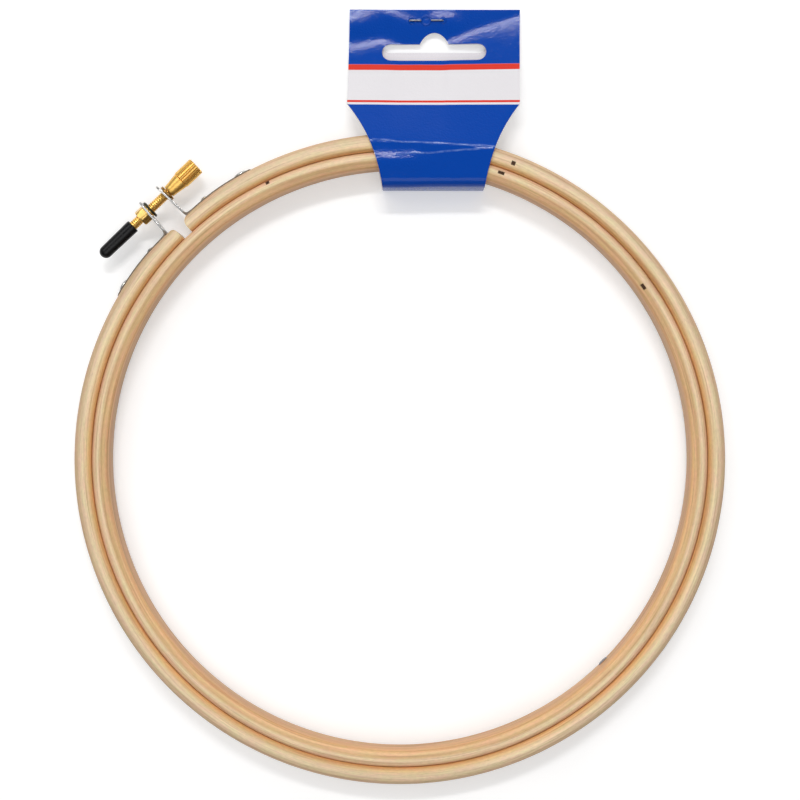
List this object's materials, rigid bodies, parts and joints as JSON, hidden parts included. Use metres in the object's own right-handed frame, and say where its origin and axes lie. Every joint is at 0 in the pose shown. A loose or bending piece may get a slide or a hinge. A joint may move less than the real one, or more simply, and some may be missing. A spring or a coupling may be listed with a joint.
{
  "type": "embroidery hoop",
  "caption": "Wooden embroidery hoop: a closed inner ring inside a split outer ring that a brass thumb screw clamps, with a folded hang card.",
  "frame": {"origin": "under the middle of the whole outline, hoops and hang card, on the surface that the hoop lies on", "axes": "+Z along the hoops' axis, out of the front face; +Y from the hoops' centre along the hang card, to its top edge"},
  "size_m": [0.1884, 0.2264, 0.0115],
  "materials": {
    "inner_hoop_wood": "pale beech, sanded and lightly waxed",
    "outer_hoop_wood": "pale beech, sanded and lightly waxed",
    "bracket_steel": "bright nickel-plated strip",
    "rivet_steel": "bright nickel-plated",
    "screw_brass": "bright turned brass",
    "cap_rubber": "glossy black dipped rubber",
    "tag_card": "glossy printed card, blue with red lines round a white band",
    "staple_wire": "bright wire"
  },
  "bodies": {
    "outer_hoop": {"outer_hoop_right_arm": "outer_hoop_wood", "right_bracket": "bracket_steel", "right_bracket_near_rivet": "rivet_steel", "right_bracket_far_rivet": "rivet_steel"},
    "clamp_arm": {"outer_hoop_left_arm": "outer_hoop_wood", "left_bracket": "bracket_steel", "left_bracket_near_rivet": "rivet_steel", "left_bracket_far_rivet": "rivet_steel", "clamp_nut": "screw_brass"},
    "screw": {"thumb_screw": "screw_brass", "screw_washer": "screw_brass", "tip_cap": "cap_rubber"},
    "inner_ring": {"inner_hoop": "inner_hoop_wood", "inner_hoop_staple": "staple_wire"},
    "tag_back": {"tag_back_panel": "tag_card", "tag_staple": "staple_wire"},
    "tag_front": {"tag_front_panel": "tag_card"}
  },
  "joints": [
    {"name": "screw_turn", "type": "hinge", "parent": "outer_hoop", "child": "screw", "pos_m": [-0.07096, 0.05538, 0.0056], "axis": [0.7236, 0.6902, 0], "range_deg": [0, 1440]},
    {"name": "hoop_flex", "type": "hinge", "parent": "outer_hoop", "child": "clamp_arm", "pos_m": [0.0633, -0.08535, 0.0056], "axis": [0, 0, 1], "range_deg": [0, 0.748]},
    {"name": "inner_hoop_lift", "type": "slide", "parent": "outer_hoop", "child": "inner_ring", "axis": [0, 0, 1], "range_m": [0, 0.015]},
    {"name": "tag_slide", "type": "hinge", "parent": "outer_hoop", "child": "tag_back", "pos_m": [0, -0.019, 0.0056], "axis": [0, 0, 1], "range_deg": [-105, 14]},
    {"name": "tag_open", "type": "hinge", "parent": "tag_back", "child": "tag_front", "pos_m": [0.00975, 0.05957, 0.0056], "axis": [1, 0, 0], "range_deg": [0, 150]}
  ],
  "couplings": [
    {"joint": "screw_turn", "follows": "hoop_flex", "ratio": 1924.5},
    {"joint": "tag_open", "follows": "inner_hoop_lift", "rad_per_m": 174.53}
  ]
}
